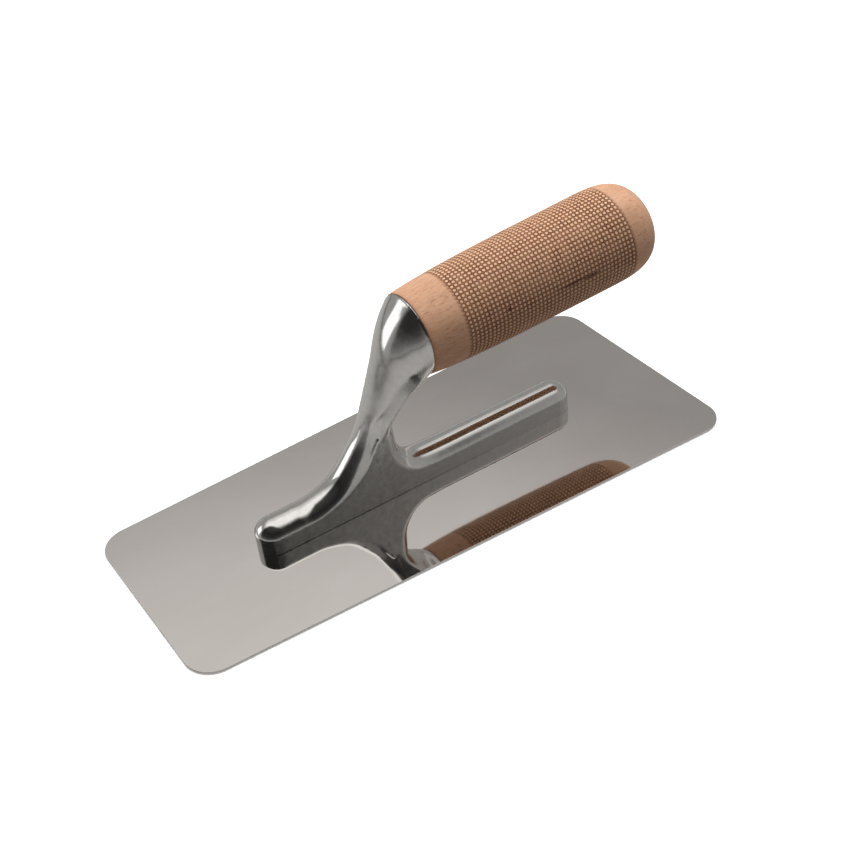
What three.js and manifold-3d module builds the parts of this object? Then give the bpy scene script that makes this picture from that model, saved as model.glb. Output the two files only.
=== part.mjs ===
// Steel finishing trowel: a thin stainless blade riveted under a cast aluminium gooseneck bracket,
// with a turned beech handle drawn onto the bracket's spigot by a stud and a nut.
// Millimetres, +Z up. The origin is the centre of the blade's underside; the heel and the
// handle's butt point along +X, the toe along -X.

import * as THREE from 'three';
import { mergeVertices } from 'three/addons/utils/BufferGeometryUtils.js';
import Module from 'manifold-3d';

// Blade: a sheet that is a little wider at the heel than at the toe.
const BLADE_LENGTH = 240;
const BLADE_TOE_WIDTH = 91;
const BLADE_HEEL_WIDTH = 109;
const BLADE_CORNER_RADIUS = 11.5;
const BLADE_THICKNESS = 0.7;

// Bracket: heights are measured from the blade's top face.
const BAR_HALF_WIDTH = 7.4; // half the distance between the flat side walls
const BAR_ROUND = 8; // radius of the round top of foot and rib
const BAR_TOP = 12.1;
const NOSE_X = -71.4;
const RIB_END_X = 77;
const SEAT_GAP = 0.05; // between the blade and the bracket's seat

// Handle: the axis leaves the bracket's head, rising towards the butt.
const HEAD_X = 4.8;
const HEAD_Z = 65.8;
const HANDLE_PITCH = 0.061; // radians
const HEAD_RADIUS = 16.9;
const HANDLE_LENGTH = 111.7;
const HANDLE_BUTT_RADIUS = 19.9;
const BUTT_ROUND_START = 86; // where the butt's rounding begins
const BUTT_ROUND_POWER = 3.5;

// Fixings.
const FIT_GAP = 0.3;
const SPIGOT_RADIUS = 6.5;
const SPIGOT_LENGTH = 22;
const STUD_RADIUS = 3;
const STUD_START = -10; // inside the bracket's head
const STUD_END = 109.2;
const COUNTERBORE_RADIUS = 7.6;
const COUNTERBORE_DEPTH = 10.5;
const WASHER_RADIUS = 6.9;
const WASHER_THICKNESS = 1.2;
const NUT_ACROSS_FLATS = 10;
const NUT_HEIGHT = 5;
const RIVET_XS = [-62, -36, -10, 16, 42, 68];
const RIVET_SHANK_RADIUS = 2;
const RIVET_HEAD_RADIUS = 3.2;
const RIVET_LENGTH = 6.5;
const RIVET_LIFT = 0.04; // the ground heads lie just inside the blade's underside

// Fineness of the round surfaces.
const RING_POINTS = 28;
const ROUND_SEGMENTS = 48;
const PIN_SEGMENTS = 20;

const wasm = await Module();
wasm.setup();

// ---------------------------------------------------------------- solids

function toSolid(geometry) {
  const bare = geometry.clone();
  bare.deleteAttribute('normal');
  bare.deleteAttribute('uv');
  const merged = mergeVertices(bare, 1e-5);
  const mesh = new wasm.Mesh({
    numProp: 3,
    vertProperties: Float32Array.from(merged.attributes.position.array),
    triVerts: Uint32Array.from(merged.index.array),
  });
  return new wasm.Manifold(mesh);
}

function toGeometry(solid) {
  const { vertProperties, triVerts } = solid.getMesh();
  const geometry = new THREE.BufferGeometry();
  geometry.setAttribute('position', new THREE.BufferAttribute(Float32Array.from(vertProperties), 3));
  geometry.setIndex(new THREE.BufferAttribute(Uint32Array.from(triVerts), 1));
  geometry.computeVertexNormals();
  return geometry;
}

function boxSolid(low, high) {
  const size = high.clone().sub(low);
  const centre = low.clone().add(high).multiplyScalar(0.5);
  const box = new THREE.BoxGeometry(size.x, size.y, size.z);
  return toSolid(box.translate(centre.x, centre.y, centre.z));
}

// Closed skin over rings of equal length, with a fan over each end.
function loft(rings) {
  const count = rings[0].length;
  const positions = rings.flat().flatMap((p) => [p.x, p.y, p.z]);
  const index = [];
  for (let i = 0; i < rings.length - 1; i += 1) {
    for (let j = 0; j < count; j += 1) {
      const a = i * count + j;
      const b = i * count + ((j + 1) % count);
      index.push(a, b + count, b, a, a + count, b + count);
    }
  }
  const last = (rings.length - 1) * count;
  for (let j = 1; j < count - 1; j += 1) {
    index.push(0, j, j + 1);
    index.push(last, last + j + 1, last + j);
  }
  const geometry = new THREE.BufferGeometry();
  geometry.setAttribute('position', new THREE.Float32BufferAttribute(positions, 3));
  geometry.setIndex(index);
  return geometry;
}

// Turned solid about the X axis from [distance along X, radius] points.
function turned(profile, segments) {
  const points = profile.map(([along, radius]) => new THREE.Vector2(radius, along));
  return new THREE.LatheGeometry(points, segments).rotateZ(-Math.PI / 2);
}

// The X axis, leaned up to the handle's axis at the bracket's head.
const handleFrame = new THREE.Matrix4()
  .makeRotationY(-HANDLE_PITCH)
  .setPosition(HEAD_X, 0, BLADE_THICKNESS + HEAD_Z);

// ---------------------------------------------------------------- blade

// Outline with its corners rounded by tangent arcs.
function roundedOutline(corners, radius) {
  const shape = new THREE.Shape();
  corners.forEach((corner, i) => {
    const before = corners[(i + corners.length - 1) % corners.length];
    const after = corners[(i + 1) % corners.length];
    const toBefore = before.clone().sub(corner).normalize();
    const toAfter = after.clone().sub(corner).normalize();
    const halfAngle = Math.acos(toBefore.dot(toAfter)) / 2;
    const inward = toBefore.clone().add(toAfter).normalize();
    const centre = corner.clone().addScaledVector(inward, radius / Math.sin(halfAngle));
    const reach = radius / Math.tan(halfAngle);
    const start = corner.clone().addScaledVector(toBefore, reach).sub(centre).angle();
    const end = corner.clone().addScaledVector(toAfter, reach).sub(centre).angle();
    shape.absarc(centre.x, centre.y, radius, start, end, false);
  });
  return shape;
}

// A countersunk rivet standing on its head, or with grow above 0 the bore that clears it.
function rivetProfile(grow) {
  return [
    [RIVET_LIFT - grow, 0],
    [RIVET_LIFT - grow, RIVET_HEAD_RADIUS + grow],
    [RIVET_LIFT + 0.1, RIVET_HEAD_RADIUS + grow],
    [BLADE_THICKNESS, RIVET_SHANK_RADIUS + grow],
    [BLADE_THICKNESS + RIVET_LENGTH + grow, RIVET_SHANK_RADIUS + grow],
    [BLADE_THICKNESS + RIVET_LENGTH + grow, 0],
  ];
}

function rivetGeometry(grow) {
  return turned(rivetProfile(grow), PIN_SEGMENTS).rotateY(-Math.PI / 2);
}

function bladeGeometry() {
  const halfLength = BLADE_LENGTH / 2;
  const corners = [
    new THREE.Vector2(-halfLength, -BLADE_TOE_WIDTH / 2),
    new THREE.Vector2(halfLength, -BLADE_HEEL_WIDTH / 2),
    new THREE.Vector2(halfLength, BLADE_HEEL_WIDTH / 2),
    new THREE.Vector2(-halfLength, BLADE_TOE_WIDTH / 2),
  ];
  const outline = roundedOutline(corners, BLADE_CORNER_RADIUS);
  const sheet = new THREE.ExtrudeGeometry(outline, {
    depth: BLADE_THICKNESS,
    bevelEnabled: false,
    curveSegments: 14,
  });
  let solid = toSolid(sheet);
  for (const x of RIVET_XS) {
    solid = solid.subtract(toSolid(rivetGeometry(FIT_GAP).translate(x, 0, 0)));
  }
  return toGeometry(solid);
}

// ---------------------------------------------------------------- bracket

// A station of the bracket is one cross-section, cut square to its side view. It runs from the
// point front = [x, z] to the point rear, with a round of depth `round` at the front, half width
// `half`, and side walls ground flat at `flat`. `square` above 2 makes the rear half boxier.
const joinTop = [HEAD_X - HEAD_RADIUS * Math.sin(HANDLE_PITCH), HEAD_Z + HEAD_RADIUS * Math.cos(HANDLE_PITCH)];
const joinFoot = [HEAD_X + HEAD_RADIUS * Math.sin(HANDLE_PITCH), HEAD_Z - HEAD_RADIUS * Math.cos(HANDLE_PITCH)];
const NECK_STATIONS = [
  { front: [-64, BAR_TOP], rear: [-64, -4], round: 8, half: 8, flat: 7.4, square: 8 },
  { front: [-55, BAR_TOP], rear: [-55, -4], round: 8, half: 8, flat: 7.4, square: 8 },
  { front: [-46.3, 12.4], rear: [-43.3, -2], round: 7.6, half: 8, flat: 7.4, square: 6 },
  { front: [-36, 16.4], rear: [-29, 5], round: 6.9, half: 8, flat: 7.4, square: 4 },
  { front: [-26.9, 26.4], rear: [-17.6, 20], round: 5.9, half: 8, flat: 7.4, square: 3 },
  { front: [-22.3, 33.4], rear: [-12.4, 28.2], round: 5.6, half: 8, flat: 7.5, square: 3 },
  { front: [-18.9, 40.4], rear: [-7.8, 35.8], round: 6, half: 8.3, flat: 7.9, square: 3 },
  { front: [-14.7, 50.8], rear: [-1, 45], round: 7.6, half: 9.6, flat: 9, square: 3 },
  { front: [-10.9, 59.5], rear: [3.4, 47.4], round: 9.8, half: 11.6, flat: 11.2, square: 2.6 },
  { front: [-7, 67.9], rear: [4.7, 48.1], round: 12, half: 13.6, flat: 13.6, square: 2.3 },
  { front: [-2.2, 75.6], rear: [5.4, 48.6], round: 14.5, half: 15.5, flat: 15.5, square: 2.1 },
  { front: joinTop, rear: joinFoot, round: HEAD_RADIUS, half: HEAD_RADIUS, flat: HEAD_RADIUS, square: 2 },
];
const RIB_STATIONS = [
  { front: [-9.2, 38], rear: [-15, 40], round: 3, half: 7.2, flat: 7, square: 3 },
  { front: [-8.2, 29], rear: [-18, 29.5], round: 7, half: 8, flat: 7.4, square: 3 },
  { front: [-6.9, 20.8], rear: [-20, 13], round: 8, half: 8, flat: 7.4, square: 8 },
  { front: [-1.8, 14], rear: [-10, -4], round: 8, half: 8, flat: 7.4, square: 8 },
  { front: [8, BAR_TOP], rear: [6, -4], round: 8, half: 8, flat: 7.4, square: 8 },
  { front: [40, BAR_TOP], rear: [40, -4], round: 8, half: 8, flat: 7.4, square: 8 },
  { front: [69.6, BAR_TOP], rear: [69.6, -4], round: 8, half: 8, flat: 7.4, square: 8 },
];
const WEB_OUTLINE = [
  [-60, -4], [-60, 3], [-40, 5], [-28, 13], [-18, 31], [-14.5, 27], [-13, 19], [-8, 9], [0, 4], [66, 4], [66, -4],
];

function blendStations(stations, steps) {
  const curve = (pick) => new THREE.CatmullRomCurve3(stations.map(pick), false, 'catmullrom');
  const fronts = curve((s) => new THREE.Vector3(s.front[0], 0, s.front[1]));
  const rears = curve((s) => new THREE.Vector3(s.rear[0], 0, s.rear[1]));
  const widths = curve((s) => new THREE.Vector3(s.half, s.flat, s.round));
  const squares = curve((s) => new THREE.Vector3(s.square, 0, 0));
  return Array.from({ length: steps + 1 }, (_, i) => {
    const t = i / steps;
    const width = widths.getPoint(t);
    return {
      front: fronts.getPoint(t),
      rear: rears.getPoint(t),
      half: width.x,
      flat: width.y,
      round: width.z,
      square: squares.getPoint(t).x,
    };
  });
}

function sectionRing({ front, rear, half, flat, round, square }) {
  const depth = rear.clone().sub(front);
  const inward = depth.clone().normalize();
  const centre = front.clone().addScaledVector(inward, round);
  const rearDepth = depth.length() - round;
  return Array.from({ length: RING_POINTS }, (_, j) => {
    const angle = (2 * Math.PI * j) / RING_POINTS;
    const along = Math.cos(angle);
    const across = Math.sin(angle);
    const power = along > 0 ? 1 : 2 / square;
    const offset = along > 0 ? -round * along : rearDepth * Math.abs(along) ** power;
    const wide = half * Math.sign(across) * Math.abs(across) ** power;
    const point = centre.clone().addScaledVector(inward, offset);
    point.y = THREE.MathUtils.clamp(wide, -flat, flat);
    return point;
  });
}

// Rounded end of a bar: a ball of BAR_ROUND, ground to the same flat wall all the way round.
function barEndStations(endX, direction) {
  const centreX = endX - direction * BAR_HALF_WIDTH;
  const centreZ = BAR_TOP - BAR_ROUND;
  const angles = [20, 38, 54, 68, 80, 87];
  return angles.map((degrees) => {
    const reach = BAR_HALF_WIDTH * Math.sin(THREE.MathUtils.degToRad(degrees));
    const ball = Math.sqrt(BAR_ROUND ** 2 - reach ** 2);
    const x = centreX + direction * reach;
    return {
      front: new THREE.Vector3(x, 0, centreZ + ball),
      rear: new THREE.Vector3(x, 0, -4),
      half: ball,
      flat: Math.sqrt(BAR_HALF_WIDTH ** 2 - reach ** 2),
      round: ball,
      square: 8,
    };
  });
}

function bracketGeometry() {
  const neckSections = [
    ...barEndStations(NOSE_X, -1).reverse(),
    ...blendStations(NECK_STATIONS, 44),
  ];
  const ribSections = [
    ...blendStations(RIB_STATIONS, 26),
    ...barEndStations(RIB_END_X, 1),
  ];
  const web = new THREE.Shape(WEB_OUTLINE.map(([x, z]) => new THREE.Vector2(x, z)));
  const webPlate = new THREE.ExtrudeGeometry(web, { depth: 2 * BAR_HALF_WIDTH, bevelEnabled: false });
  webPlate.translate(0, 0, -BAR_HALF_WIDTH).rotateX(Math.PI / 2);

  const casting = toSolid(loft(neckSections.map(sectionRing)))
    .add(toSolid(loft(ribSections.map(sectionRing))))
    .add(toSolid(webPlate));
  const below = boxSolid(new THREE.Vector3(-100, -40, -20), new THREE.Vector3(100, 40, SEAT_GAP));
  const lifted = toGeometry(casting.subtract(below)).translate(0, 0, BLADE_THICKNESS);

  const spigot = turned([
    [-6, 0],
    [-6, SPIGOT_RADIUS],
    [SPIGOT_LENGTH - 1.5, SPIGOT_RADIUS],
    [SPIGOT_LENGTH, SPIGOT_RADIUS - 1.5],
    [SPIGOT_LENGTH, 0],
  ], PIN_SEGMENTS).applyMatrix4(handleFrame);
  const studBore = turned([
    [STUD_START - FIT_GAP, 0],
    [STUD_START - FIT_GAP, STUD_RADIUS + FIT_GAP],
    [SPIGOT_LENGTH + 5, STUD_RADIUS + FIT_GAP],
    [SPIGOT_LENGTH + 5, 0],
  ], PIN_SEGMENTS).applyMatrix4(handleFrame);

  let solid = toSolid(lifted).add(toSolid(spigot)).subtract(toSolid(studBore));
  for (const x of RIVET_XS) {
    solid = solid.subtract(toSolid(rivetGeometry(FIT_GAP).translate(x, 0, 0)));
  }
  return toGeometry(solid);
}

// ---------------------------------------------------------------- handle

// Radius of the handle at a distance along its axis: a quick swell behind the head, then
// almost straight to the rounded butt.
function handleRadius(along) {
  const swell = HEAD_RADIUS + (HANDLE_BUTT_RADIUS - 0.8 - HEAD_RADIUS) * (1 - Math.exp(-along / 18));
  const body = swell + (0.8 * along) / BUTT_ROUND_START;
  const past = Math.max(0, (along - BUTT_ROUND_START) / (HANDLE_LENGTH - BUTT_ROUND_START));
  return body * (1 - past ** BUTT_ROUND_POWER) ** (1 / BUTT_ROUND_POWER);
}

function handleProfile() {
  const boreRadius = STUD_RADIUS + FIT_GAP;
  const socketRadius = SPIGOT_RADIUS + FIT_GAP;
  const socketEnd = SPIGOT_LENGTH + FIT_GAP;
  const counterboreStart = HANDLE_LENGTH - COUNTERBORE_DEPTH;
  const profile = [[counterboreStart, boreRadius], [socketEnd, boreRadius], [socketEnd, socketRadius], [FIT_GAP, socketRadius]];
  const bodySteps = 12;
  for (let i = 0; i <= bodySteps; i += 1) {
    const along = FIT_GAP + (BUTT_ROUND_START - FIT_GAP) * (i / bodySteps);
    profile.push([along, handleRadius(along)]);
  }
  const roundSteps = 10;
  const rimReach = (1 - (COUNTERBORE_RADIUS / HANDLE_BUTT_RADIUS) ** BUTT_ROUND_POWER) ** (1 / BUTT_ROUND_POWER);
  for (let i = 1; i <= roundSteps; i += 1) {
    const past = rimReach * Math.sin((i / roundSteps) * (Math.PI / 2));
    const along = BUTT_ROUND_START + (HANDLE_LENGTH - BUTT_ROUND_START) * past;
    profile.push([along, Math.max(COUNTERBORE_RADIUS, handleRadius(along))]);
  }
  profile.push([counterboreStart, COUNTERBORE_RADIUS], profile[0]);
  return profile;
}

function nutGeometry() {
  const cornerRadius = NUT_ACROSS_FLATS / Math.sqrt(3);
  const corners = Array.from({ length: 6 }, (_, i) => {
    const angle = (i * Math.PI) / 3;
    return new THREE.Vector2(cornerRadius * Math.cos(angle), cornerRadius * Math.sin(angle));
  });
  const hexagon = new THREE.Shape(corners);
  const bore = new THREE.Path().absarc(0, 0, STUD_RADIUS + FIT_GAP, 0, 2 * Math.PI, true);
  hexagon.holes.push(bore);
  const options = { depth: NUT_HEIGHT, bevelEnabled: false, curveSegments: PIN_SEGMENTS / 2 };
  return toGeometry(toSolid(new THREE.ExtrudeGeometry(hexagon, options).rotateY(Math.PI / 2)));
}

function washerGeometry() {
  const inner = STUD_RADIUS + FIT_GAP;
  const profile = [[0, inner], [0, WASHER_RADIUS], [WASHER_THICKNESS, WASHER_RADIUS], [WASHER_THICKNESS, inner], [0, inner]];
  return turned(profile, ROUND_SEGMENTS / 2);
}

// ---------------------------------------------------------------- assembly

const STAINLESS = { color: 0xb9b5b0, roughness: 0.12, metalness: 1 };
const CAST_ALUMINIUM = { color: 0xc9c8c6, roughness: 0.25, metalness: 1 };
const BEECH = { color: 0xcf9f77, roughness: 0.6, metalness: 0 };
const ZINC_STEEL = { color: 0xa9abad, roughness: 0.35, metalness: 1 };

const trowel = new THREE.Group();

function addPiece(name, geometry, look) {
  const mesh = new THREE.Mesh(geometry, new THREE.MeshStandardMaterial(look));
  mesh.name = name;
  trowel.add(mesh);
  return mesh;
}

function addOnHandleAxis(name, geometry, look, along) {
  const mesh = addPiece(name, geometry, look);
  const shift = new THREE.Matrix4().makeTranslation(along, 0, 0);
  mesh.applyMatrix4(handleFrame.clone().multiply(shift));
  return mesh;
}

addPiece('blade', bladeGeometry(), STAINLESS);
addPiece('bracket', bracketGeometry(), CAST_ALUMINIUM);
RIVET_XS.forEach((x, i) => {
  addPiece(`blade_rivet_${i + 1}`, rivetGeometry(0), STAINLESS).position.x = x;
});

const seat = HANDLE_LENGTH - COUNTERBORE_DEPTH + FIT_GAP;
const stud = turned([
  [STUD_START, 0],
  [STUD_START, STUD_RADIUS],
  [STUD_END, STUD_RADIUS],
  [STUD_END, 0],
], PIN_SEGMENTS);
addOnHandleAxis('handle', turned(handleProfile(), ROUND_SEGMENTS), BEECH, 0);
addOnHandleAxis('handle_stud', stud, ZINC_STEEL, 0);
addOnHandleAxis('handle_washer', washerGeometry(), ZINC_STEEL, seat);
addOnHandleAxis('handle_nut', nutGeometry(), ZINC_STEEL, seat + WASHER_THICKNESS + FIT_GAP);

export default trowel;
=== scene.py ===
import math
import bmesh
import bpy
import numpy as np
from mathutils import Matrix, Vector


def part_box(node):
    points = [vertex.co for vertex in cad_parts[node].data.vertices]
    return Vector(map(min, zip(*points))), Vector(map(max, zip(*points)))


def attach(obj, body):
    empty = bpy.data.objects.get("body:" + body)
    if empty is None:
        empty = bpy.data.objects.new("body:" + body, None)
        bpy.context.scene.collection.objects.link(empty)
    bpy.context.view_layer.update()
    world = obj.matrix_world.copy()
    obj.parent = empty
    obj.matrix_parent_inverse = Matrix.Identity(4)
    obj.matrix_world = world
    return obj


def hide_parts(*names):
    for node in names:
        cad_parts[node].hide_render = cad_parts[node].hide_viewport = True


# Finishing trowel: mirror-polished blade, cast aluminium bracket and turned beech handle, built
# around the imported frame. Shapes are worked out in millimetres and made into meshes in metres.
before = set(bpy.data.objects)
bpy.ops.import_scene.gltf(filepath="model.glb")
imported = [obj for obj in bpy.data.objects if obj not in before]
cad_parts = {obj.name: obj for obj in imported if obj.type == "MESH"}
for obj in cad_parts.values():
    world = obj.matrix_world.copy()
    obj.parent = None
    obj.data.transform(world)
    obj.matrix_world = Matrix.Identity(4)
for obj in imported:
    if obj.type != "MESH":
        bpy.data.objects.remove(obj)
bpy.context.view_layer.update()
MM = 0.001

# The same driving sizes as the CAD model, in millimetres.
BLADE_TOE_WIDTH = 91
BLADE_HEEL_WIDTH = 109
BLADE_CORNER_RADIUS = 11.5
BLADE_EDGE_ROUND = 0.12
BAR_HALF_WIDTH = 7.4
BAR_ROUND = 8.0
BAR_TOP = 12.1
NOSE_X = -71.4
RIB_END_X = 77.0
SEAT_GAP = 0.05
HEAD_X = 4.8
HEAD_Z = 65.8
HANDLE_PITCH = 0.061
HEAD_RADIUS = 16.9
HANDLE_LENGTH = 111.7
HANDLE_BUTT_RADIUS = 19.9
HANDLE_TAPER = 0.8
HANDLE_SWELL = 18.0
BUTT_ROUND_START = 86.0
BUTT_ROUND_POWER = 3.5
FIT_GAP = 0.3
SPIGOT_RADIUS = 6.5
SPIGOT_LENGTH = 22.0
STUD_RADIUS = 3.0
STUD_START = -10.0
STUD_END = 109.2
THREAD_PITCH = 1.0
COUNTERBORE_RADIUS = 7.6
COUNTERBORE_DEPTH = 10.5
WASHER_RADIUS = 6.9
WASHER_THICKNESS = 1.2
NUT_ACROSS_FLATS = 10.0
NUT_HEIGHT = 5.0
RIVET_XS = (-62, -36, -10, 16, 42, 68)
RIVET_SHANK_RADIUS = 2.0
RIVET_HEAD_RADIUS = 3.2
RIVET_LENGTH = 6.5
RIVET_LIFT = 0.04

blade_low, blade_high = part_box("blade")
BLADE_LENGTH = (blade_high.x - blade_low.x) / MM
BLADE_THICKNESS = (blade_high.z - blade_low.z) / MM

# The handle's axis and the two directions square to it.
AXIS = np.array([math.cos(HANDLE_PITCH), 0.0, math.sin(HANDLE_PITCH)])
AXIS_UP = np.array([-AXIS[2], 0.0, AXIS[0]])
AXIS_SIDE = np.array([0.0, 1.0, 0.0])
HEAD_CENTRE = np.array([HEAD_X, 0.0, BLADE_THICKNESS + HEAD_Z])


# ------------------------------------------------------------------ mesh helpers

def make_object(name, points, faces):
    """A mesh object from points in millimetres, its faces turned to look out."""
    mesh = bpy.data.meshes.new(name)
    mesh.from_pydata((np.asarray(points, float) * MM).tolist(), [], faces)
    work = bmesh.new()
    work.from_mesh(mesh)
    bmesh.ops.recalc_face_normals(work, faces=work.faces)
    work.to_mesh(mesh)
    work.free()
    obj = bpy.data.objects.new(name, mesh)
    bpy.context.scene.collection.objects.link(obj)
    return obj


def shade_smooth(obj, angle_degrees):
    """Smooth shading with sharp edges kept above an angle."""
    obj.data.polygons.foreach_set("use_smooth", [True] * len(obj.data.polygons))
    obj.data.set_sharp_from_angle(angle=math.radians(angle_degrees))


def apply_modifiers(obj):
    """Bakes the modifiers of an object into its mesh."""
    graph = bpy.context.evaluated_depsgraph_get()
    baked = bpy.data.meshes.new_from_object(obj.evaluated_get(graph))
    old = obj.data
    obj.modifiers.clear()
    obj.data = baked
    bpy.data.meshes.remove(old)


def combine(obj, other, operation):
    """Joins or cuts a solid with another, which is then deleted."""
    boolean = obj.modifiers.new("combine", "BOOLEAN")
    boolean.operation = operation
    boolean.solver = "EXACT"
    boolean.object = other
    apply_modifiers(obj)
    bpy.data.objects.remove(other)


def merge(name, parts):
    """Puts several meshes into one object."""
    work = bmesh.new()
    for part in parts:
        work.from_mesh(part.data)
        bpy.data.objects.remove(part)
    mesh = bpy.data.meshes.new(name)
    work.to_mesh(mesh)
    work.free()
    obj = bpy.data.objects.new(name, mesh)
    bpy.context.scene.collection.objects.link(obj)
    return obj


def grid_faces(rings, around, closed_ends=True):
    """Quads between neighbouring rings of points; closed ends get an n-gon each."""
    faces = []
    for i in range(rings - 1):
        for j in range(around):
            a = i * around + j
            b = i * around + (j + 1) % around
            faces.append((a, a + around, b + around, b))
    if closed_ends:
        faces.append(tuple(range(around)))
        faces.append(tuple(range((rings - 1) * around, rings * around))[::-1])
    return faces


def loop_faces(rings, around):
    """Quads between neighbouring rings of points, and between the last ring and the first."""
    faces = grid_faces(rings, around, closed_ends=False)
    last = (rings - 1) * around
    for j in range(around):
        k = (j + 1) % around
        faces.append((last + j, j, k, last + k))
    return faces


def even_turns(around):
    """Equal steps of one turn, in radians."""
    return np.arange(around) * 2 * math.pi / around


def spokes(around):
    """Directions out from the handle's axis, at equal steps of one turn."""
    turns = even_turns(around)
    return np.outer(np.cos(turns), AXIS_SIDE) + np.outer(np.sin(turns), AXIS_UP)


def turned_points(profile, around):
    """Rings about the handle's axis from (distance along it, radius) pairs."""
    out = spokes(around)
    return np.concatenate([HEAD_CENTRE + AXIS * along + out * radius for along, radius in profile])


def turned_solid(name, profile, around):
    """A solid turned about the handle's axis, with a flat disc at each end."""
    return make_object(name, turned_points(profile, around), grid_faces(len(profile), around))


def turned_ring(name, profile, around):
    """A solid turned about the handle's axis from a profile that closes on itself."""
    return make_object(name, turned_points(profile, around), loop_faces(len(profile), around))


def upright_solid(name, profile, centre_x, around):
    """A solid turned about an upright axis from (height, radius) pairs."""
    points = [
        (centre_x + radius * math.cos(a), -radius * math.sin(a), height)
        for height, radius in profile
        for a in even_turns(around)
    ]
    return make_object(name, points, grid_faces(len(profile), around))


# ------------------------------------------------------------------ material helpers

class Nodes:
    """Short calls for building one material's node tree."""

    def __init__(self, name):
        self.material = bpy.data.materials.new(name)
        self.material.use_nodes = True
        self.tree = self.material.node_tree
        self.shader = self.tree.nodes["Principled BSDF"]

    def add(self, kind, **settings):
        node = self.tree.nodes.new(kind)
        for key, value in settings.items():
            setattr(node, key, value)
        return node

    def link(self, source, target):
        self.tree.links.new(source, target)

    def place(self, scale, rotation=(0, 0, 0), centre=(0, 0, 0)):
        """Object coordinates about a centre, along turned axes, each multiplied by its scale."""
        where = self.add("ShaderNodeTexCoord")
        mapping = self.add("ShaderNodeMapping", vector_type="TEXTURE")
        mapping.inputs["Location"].default_value = centre
        mapping.inputs["Rotation"].default_value = rotation
        mapping.inputs["Scale"].default_value = [1 / size for size in scale]
        self.link(where.outputs["Object"], mapping.inputs["Vector"])
        return mapping.outputs["Vector"]

    def noise(self, vector, scale, detail=3.0, roughness=0.5, distortion=0.0):
        node = self.add("ShaderNodeTexNoise")
        node.inputs["Scale"].default_value = scale
        node.inputs["Detail"].default_value = detail
        node.inputs["Roughness"].default_value = roughness
        node.inputs["Distortion"].default_value = distortion
        self.link(vector, node.inputs["Vector"])
        return node.outputs["Fac"]

    def ramp(self, fac, stops):
        """A colour ramp from (position, colour) stops."""
        node = self.add("ShaderNodeValToRGB")
        elements = node.color_ramp.elements
        while len(elements) < len(stops):
            elements.new(0.5)
        for element, (position, colour) in zip(elements, stops):
            element.position = position
            element.color = (*colour, 1)
        self.link(fac, node.inputs["Fac"])
        return node.outputs["Color"]

    def range(self, value, low, high, new_low, new_high):
        """A value between low and high, stretched to run from new_low to new_high."""
        node = self.add("ShaderNodeMapRange")
        node.inputs["From Min"].default_value = low
        node.inputs["From Max"].default_value = high
        node.inputs["To Min"].default_value = new_low
        node.inputs["To Max"].default_value = new_high
        self.link(value, node.inputs["Value"])
        return node.outputs["Result"]

    def math(self, operation, first, second):
        node = self.add("ShaderNodeMath", operation=operation)
        for socket, value in zip(node.inputs, (first, second)):
            if isinstance(value, (int, float)):
                socket.default_value = value
            else:
                self.link(value, socket)
        return node.outputs["Value"]

    def mix(self, fac, first, second):
        """A colour mix; fac, first and second are sockets or constants."""
        node = self.add("ShaderNodeMix", data_type="RGBA")
        for socket, value in ((node.inputs[0], fac), (node.inputs[6], first), (node.inputs[7], second)):
            if isinstance(value, (int, float)):
                socket.default_value = value
            elif isinstance(value, tuple):
                socket.default_value = (*value, 1)
            else:
                self.link(value, socket)
        return node.outputs[2]

    def spot(self, centre, half_sizes, rotation):
        """1 inside a soft ellipsoid, 0 outside, with a ragged edge."""
        where = self.place([1 / size for size in half_sizes], rotation, centre)
        reach = self.add("ShaderNodeVectorMath", operation="LENGTH")
        self.link(where, reach.inputs[0])
        wobble = self.range(self.noise(where, 3), 0.3, 0.7, -0.35, 0.35)
        ragged = self.math("ADD", reach.outputs["Value"], wobble)
        return self.range(ragged, 0.55, 1.0, 1, 0)

    def attribute(self, name):
        return self.add("ShaderNodeAttribute", attribute_name=name).outputs["Fac"]

    def bump(self, height, strength, distance, after=None):
        node = self.add("ShaderNodeBump")
        node.inputs["Strength"].default_value = strength
        node.inputs["Distance"].default_value = distance
        self.link(height, node.inputs["Height"])
        if after is not None:
            self.link(after, node.inputs["Normal"])
        return node.outputs["Normal"]

    def wire(self, **sockets):
        """Links outputs to the shader's sockets; underscores stand for spaces."""
        for name, output in sockets.items():
            self.link(output, self.shader.inputs[name.replace("_", " ")])


def dress(obj, material):
    """Gives an object one material."""
    obj.data.materials.clear()
    obj.data.materials.append(material)


# ------------------------------------------------------------------ materials

# Marks in the wood: distance along the handle, turn in degrees (0 is +Y, 90 is up, 180 is the
# near side), and half sizes along, across and into the wood, in millimetres.
KNOTS = (
    (34.2, 168.2, (1.1, 0.9, 0.9)),
    (63.5, 176.0, (7.5, 0.45, 0.6)),
    (72.5, 177.4, (5.5, 0.4, 0.6)),
    (52.0, 62.0, (6.0, 0.4, 0.5)),
    (26.0, 250.0, (0.9, 0.7, 0.7)),
)


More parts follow.
